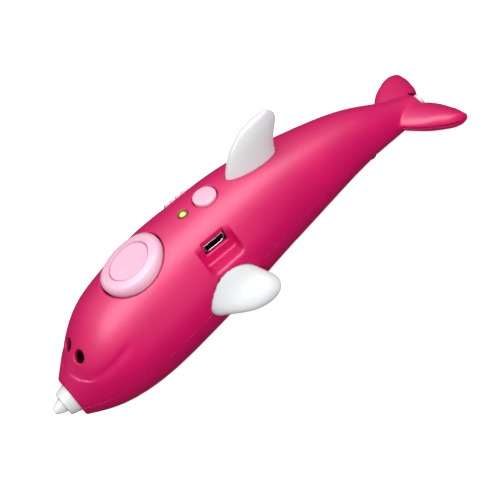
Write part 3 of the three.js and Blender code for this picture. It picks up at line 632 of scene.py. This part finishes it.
def shell(name, side):
    """One shell. Its grid rises and falls with the parting line, so that the cut edge is a clean row."""
    field, uncut = shell_field(side), shell_field(side, whole=True)
    levels = np.sort(np.arange(-FINE, GRID_REACH, FINE * 1.25) * side)
    points, quads, normals = surface_of(
        lambda x, y, w: field(x, y, w + parting_z(x)), GRID_X, GRID_Y, levels)
    points[:, 2] += parting_z(points[:, 0])
    # points on the skin take the uncut skin's normals, so that the shading runs smoothly up to the seam
    at_skin = np.abs(uncut(*points.T)) < 0.06
    normals[at_skin] = gradient(uncut, points[at_skin])
    normals[~at_skin] = gradient(field, points[~at_skin])
    normals /= np.linalg.norm(normals, axis=1)[:, None] + 1e-9
    piece("skin_" + name, points, quads, PINK, "root", (name,), normals)


shell("upper_shell", 1)
shell("lower_shell", -1)


# ---- Fins ----------------------------------------------------------------------------------------
def fin(curves, place, count=96):
    """Elliptic rings from the root of the fin to its tip."""
    rings = []
    for height, front, rear, thick in zip(*curves):
        ring = []
        for j in range(count):
            a = 2 * math.pi * j / count
            x = (front + rear) / 2 + (rear - front) / 2 * math.cos(a)
            ring.append(place(x, thick / 2 * math.sin(a), height))
        rings.append(ring)
    return loft(rings)


points, faces = fin(DORSAL, lambda x, t, h: (x, t, h))
piece("fin_dorsal", points, faces, WHITE, "root", ("dorsal_fin",), sharp=60)
for flipper_name, side in (("left_flipper", -1), ("right_flipper", 1)):
    points, faces = fin(
        FLIPPER, lambda x, t, h: (x, side * h, FLIPPER_Z - FLIPPER_DROOP * (h - FLIPPER_Z_AT_Y) + t))
    piece("fin_" + flipper_name, points, faces, WHITE, "root", (flipper_name,), sharp=60)


# ---- Buttons, lens and switch --------------------------------------------------------------------
def on_feed_button(u, v, h):
    """A place on the feed button, in parts of its half width: its edge drops to the sides with the body."""
    u, v = u * FEED_BUTTON["along"], v * FEED_BUTTON["across"]
    r = float(radius(FEED_BUTTON["x"]))
    return on_back(FEED_BUTTON)(u, v, h - 0.5 * (r - math.sqrt(r * r - v * v)))


def feed_button():
    profile = rounded(
        [(-3.6, 0.9), (-3.6, 1.0), (-0.5, 1.0), (0.35, 0.975), (0.95, 0.88), (1.2, FEED_LINE + 0.03),
         (0.55, FEED_LINE + 0.015), (0.55, FEED_LINE - 0.015), (0.9, FEED_LINE - 0.03), (0.55, 0.35),
         (0.5, 0.0)],
        [0, 0.02, 0.1, 0.3, 0.3, 0.02, 0.01, 0.01, 0.02, 0.3, 0], steps=6)
    points, faces = turned(profile, on_feed_button, 160)
    piece("cap_feed_button", points, faces, PALE, "feed_button",
          ("feed_button",), sharp=50)
    # a thin mauve band set down in the groove, painted shade standing in for the groove's shadow
    inner, outer = FEED_LINE - 0.016, FEED_LINE + 0.016
    shade_band = [(0.62, inner), (0.5, inner), (0.5, outer), (0.62, outer)]
    points, faces = turned(shade_band, on_feed_button, 160, looped=True)
    piece("feed_button_groove_shade", points, faces, GROOVE_SHADE, "feed_button")


def retract_button():
    r = RETRACT_BUTTON["radius"]
    profile = rounded([(-3.0, 0), (-3.0, r), (0.1, r), (0.34, r * 0.55), (0.38, 0)],
                      [0, 0.1, 0.35, 1.5, 0], steps=8)
    points, faces = turned(profile, on_back(RETRACT_BUTTON), 96)
    piece("cap_retract_button", points, faces, PALE, "retract_button",
          ("retract_button",), sharp=50)


def led():
    place = on_back(dict(x=LED_X, lean=0))
    rim = rounded([(-1.5, 1.02), (-2.95, 1.0), (-2.95, LED_RADIUS), (0.05, LED_RADIUS), (0.15, 1.25),
                   (-0.2, 1.02)], [0, 0, 0.1, 0.1, 0.1, 0])
    points, faces = turned(rim, place, 64, looped=True)
    # the rim carries the olive painted glow round the lit core
    piece("lens_rim", points, faces, LENS_RIM_GLOW, "root", sharp=40)
    core = rounded([(-2.5, 0), (-2.5, 1.0), (-0.2, 1.0), (0.1, 0.5), (0.12, 0)], [0, 0, 0.3, 0.5, 0])
    points, faces = turned(core, place, 48)
    piece("lens_core", points, faces, GREEN, "root", ("led_lens",), sharp=50)


def block(x, y, z, half):
    """The distance to a box about the origin."""
    q = [np.abs(v) - h for v, h in zip((x, y, z), half)]
    outside = np.sqrt(sum(np.maximum(v, 0) ** 2 for v in q))
    return outside + np.minimum(np.maximum(np.maximum(q[0], q[1]), q[2]), 0)


def speed_switch():
    """A sliding knob with four rounded ridges, in the frame of its slot: along, across and up."""
    x0, x1 = SWITCH["x0"] + SWITCH["travel"] + FIT, SWITCH["x1"] - FIT
    middle = (SWITCH["x0"] + SWITCH["x1"]) / 2
    top = float(radius(middle)) + 0.1
    half = SWITCH["width"] / 2 - FIT

    def knob(x, across, up):
        size = ((x1 - x0) / 2 - 0.2, half - 0.2, 1.7)
        shape = block(x - (x0 + x1) / 2, across, up - top + 1.9, size) - 0.2
        for ridge in np.linspace(x0 + 0.6, x1 - 0.8, 4):
            bump = block(x - ridge, across, up - top, (0.2, half - 0.3, 0.25)) - 0.28
            shape = soft_min(shape, bump, 0.3)
        return shape
    step = 0.12
    grids = [np.arange(lo, hi, step) for lo, hi in ((x0 - 0.5, x1 + 0.5), (-2, 2), (top - 4, top + 1.2))]
    points, faces, normals = surface_of(knob, *grids)
    turn = np.array(Matrix.Rotation(-math.radians(SWITCH["angle"]), 3, "X"))
    points = points @ turn.T + np.array([0, 0, float(centre(middle))])
    piece("knob_speed_switch", points, faces, PALE, "speed_switch",
          ("speed_switch_knob",), normals @ turn.T)


feed_button()
retract_button()
led()
speed_switch()


# ---- Charging socket -----------------------------------------------------------------------------
def socket_outline(x, z):
    """The distance to the mouth of a micro-USB socket, which narrows below."""
    u, w = np.abs(x - USB["x"]), z - USB["z"]
    sides = soft_max(u - USB["width"] / 2, np.abs(w) - USB["height"] / 2, 0.5)
    slope = ((u - USB["width"] / 2) * 1.15 - (w + 0.2)) / math.hypot(1.15, 1)
    return soft_max(sides, slope, 0.5)


def socket():
    front, rear = USB["front"], USB["front"] + USB["depth"]

    def can(x, y, z):
        outline = socket_outline(x, z)
        flare = 0.12 * np.exp(-np.maximum(y - front, 0) / 0.25)
        wall = soft_max(outline - flare, -(outline - flare + USB["wall"]), 0.1)
        back = np.maximum(outline, np.abs(y - rear + 0.2) - 0.2)
        return soft_max(np.minimum(wall, back), slab(y, front, rear), 0.12)

    def tongue(x, y, z):
        blade = block(x - USB["x"], y - front - 2.1, z - USB["z"] - 0.37, (1.85, 1.35, 0.2)) - 0.07
        root = block(x - USB["x"], y - front - 3.65, z - USB["z"] - 0.05, (2.5, 0.6, 0.6)) - 0.05
        return soft_min(blade, root, 0.15)
    step = 0.11
    spans = ((USB["x"] - 4.3, USB["x"] + 4.3), (front - 0.4, rear + 0.4), (USB["z"] - 2, USB["z"] + 2))
    grids = [np.arange(lo, hi, step) for lo, hi in spans]
    points, faces, normals = surface_of(can, *grids)
    piece("skin_usb_shell", points, faces, BRIGHT, "root", ("usb_shell",), normals)
    points, faces, normals = surface_of(tongue, *grids)
    piece("skin_usb_tongue", points, faces, DARK, "root", ("usb_tongue",), normals)


socket()


# ---- Nozzle and inlet ----------------------------------------------------------------------------
def nozzle():
    collar = rounded([(-64, 2.75), (-62.4, 2.75), (-62.4, 5.0), (-67.0, 5.0), (-70.4, 4.0), (-70.6, 2.75)],
                     [0, 0.1, 0.2, 0.3, 0.45, 0.15])
    points, faces = turned(collar, along_x(FEED_Z), 96, looped=True)
    piece("skin_nozzle_collar", points, faces, WHITE, "root", ("nozzle_collar",), sharp=50)
    tip = rounded([(-70, 0.4), (-66.4, 0.4), (-66.4, 2.35), (-71.2, 2.35), (-73.6, 1.3), (-74.0, 0.95),
                   (-74.0, 0.4), (-73.0, 0.4)], [0, 0, 0.1, 0.4, 0.3, 0.2, 0.08, 0])
    points, faces = turned(tip, along_x(FEED_Z), 72, looped=True)
    piece("skin_nozzle_tip", points, faces, CERAMIC, "root", ("nozzle_tip",), sharp=50)


def inlet():
    ring = rounded([(74, 1.12), (72, 1.12), (72, 1.9), (76.3, 1.9), (76.3, 2.4), (INLET_X, 2.3),
                    (INLET_X, 1.12), (77.4, 1.12)], [0, 0, 0, 0.1, 0.2, 0.5, 0.3, 0])
    points, faces = turned(ring, along_x(float(centre(INLET_SEAT_X))), 64, looped=True)
    piece("skin_inlet_grommet", points, faces, WHITE, "root", ("inlet_grommet",), sharp=50)


nozzle()
inlet()

# ---- CAD nodes that show as they are -------------------------------------------------------------
SLOT_LOOKS = {
    "steel": STEEL,
    "brass": metal("machined_brass", "C9A24A"),
    "ceramic": CERAMIC,
    "black_plastic": DARK,
    "rubber_roller": moulded("roller_rubber", "1B1B1C", vary=0.15, roughness=(0.6, 0.8)),
    "circuit_board": moulded("green_solder_mask", "1D6B3C", vary=0.15, roughness=(0.3, 0.45)),
    "cell_wrap": moulded("blue_shrink_wrap", "2F6FB5", vary=0.08, roughness=(0.25, 0.4)),
    "grey_nylon": moulded("grey_nylon", "D8D8D4", vary=0.05, roughness=(0.45, 0.6)),
    "red_wire": moulded("red_wire_insulation", "C42020", vary=0.08, roughness=(0.4, 0.55)),
    "clear_tube": moulded("milky_guide_tube", "E9ECEE", vary=0.03, roughness=(0.2, 0.35)),
    "pink_shell": PINK,
    "white_plastic": WHITE,
    "pale_pink_plastic": PALE,
    "green_lens": GREEN,
}
for entry in frame["record"]["subparts"]:
    mesh = frame["nodes"][entry["node"]].data
    mesh.materials.clear()
    mesh.materials.append(SLOT_LOOKS[entry["material_slot"]])

# ---- Floor, light and camera ---------------------------------------------------------------------
AZIMUTH, ELEVATION, ROLL = (math.radians(a) for a in (-15.508, 45.849, -28.487))
DISTANCE = 400.0
LENS = 90.432
SHIFT = (-0.004608, 0.061432)
# the sky is a softbox overhead that fades to a dim horizon: (height of the direction, brightness)
SKY = [(-1, 0.02), (-0.1, 0.03), (0.2, 0.08), (0.45, 0.2), (0.62, 0.55), (0.8, 0.85), (1, 1)]
SKY_STRENGTH = 1.72


def build_camera():
    back = Vector((math.sin(AZIMUTH) * math.cos(ELEVATION), -math.cos(AZIMUTH) * math.cos(ELEVATION),
                   math.sin(ELEVATION)))
    right = Vector((0, 0, 1)).cross(back).normalized()
    up = back.cross(right)
    rolled_right = right * math.cos(ROLL) + up * math.sin(ROLL)
    rolled_up = up * math.cos(ROLL) - right * math.sin(ROLL)
    pose = Matrix((rolled_right, rolled_up, back)).transposed().to_4x4()
    pose.translation = back * DISTANCE
    placed = ON_TABLE @ pose
    pose = placed.to_3x3().normalized().to_4x4()
    pose.translation = placed.translation
    data = bpy.data.cameras.new("camera")
    data.lens = LENS
    data.sensor_width = 36
    data.clip_start = 0.01
    data.shift_x, data.shift_y = SHIFT
    camera = bpy.data.objects.new("camera", data)
    camera.matrix_world = pose
    bpy.context.scene.collection.objects.link(camera)
    bpy.context.scene.camera = camera


def build_floor():
    s = Shader("white_floor")
    s.link(s.ramp(s.noise(4, 2), [(0.3, (0.86, 0.86, 0.86, 1)), (0.7, (0.9, 0.9, 0.9, 1))]),
           s.surface.inputs["Base Color"])
    s.set(Roughness=0.8, Emission_Color=(1, 1, 1, 1), Emission_Strength=0.8)
    mesh = bpy.data.meshes.new("floor")
    corners = [(x, y, -0.0002) for x, y in ((-3, -3), (3, -3), (3, 3), (-3, 3))]
    mesh.from_pydata(corners, [], [(0, 1, 2, 3)])
    mesh.materials.append(s.material)
    floor = bpy.data.objects.new("floor", mesh)
    bpy.context.scene.collection.objects.link(floor)
    floor.visible_diffuse = False
    floor.visible_glossy = False


def area_light(name, place, target, size, power, diffuse=True, glossy=True):
    data = bpy.data.lights.new(name, "AREA")
    data.shape = "ELLIPSE"
    data.size, data.size_y = size
    data.energy = power
    light = bpy.data.objects.new(name, data)
    light.location = place
    light.rotation_euler = (Vector(target) - Vector(place)).to_track_quat("-Z", "Y").to_euler()
    light.visible_diffuse = diffuse
    light.visible_glossy = glossy
    bpy.context.scene.collection.objects.link(light)


def build_world():
    world = bpy.data.worlds.new("studio")
    world.use_nodes = True
    tree = world.node_tree
    place = tree.nodes.new("ShaderNodeTexCoord").outputs["Generated"]
    height = tree.nodes.new("ShaderNodeSeparateXYZ")
    ramp = tree.nodes.new("ShaderNodeValToRGB")
    scale = tree.nodes.new("ShaderNodeMapRange")
    scale.inputs["From Min"].default_value = -1
    tree.links.new(place, height.inputs[0])
    tree.links.new(height.outputs["Z"], scale.inputs["Value"])
    tree.links.new(scale.outputs["Result"], ramp.inputs["Fac"])
    elements = ramp.color_ramp.elements
    while len(elements) < len(SKY):
        elements.new(0.5)
    for element, (z, level) in zip(elements, SKY):
        element.position = (z + 1) / 2
        element.color = (level, level, level, 1)
    tree.links.new(ramp.outputs["Color"], tree.nodes["Background"].inputs["Color"])
    tree.nodes["Background"].inputs["Strength"].default_value = SKY_STRENGTH
    bpy.context.scene.world = world
    bpy.context.scene.view_settings.view_transform = "Standard"


build_camera()
build_floor()
build_world()
# a softbox overhead for the sheen, and a low one beside the camera that only lifts the flank
area_light("sheen", (-0.02, -0.08, 0.80), (-0.02, -0.07, 0.02), (1.8, 0.5), 12.5, diffuse=False)
area_light("fill", (0.05, -0.80, 0.13), (0, 0, 0.02), (0.6, 0.6), 3.6, glossy=False)
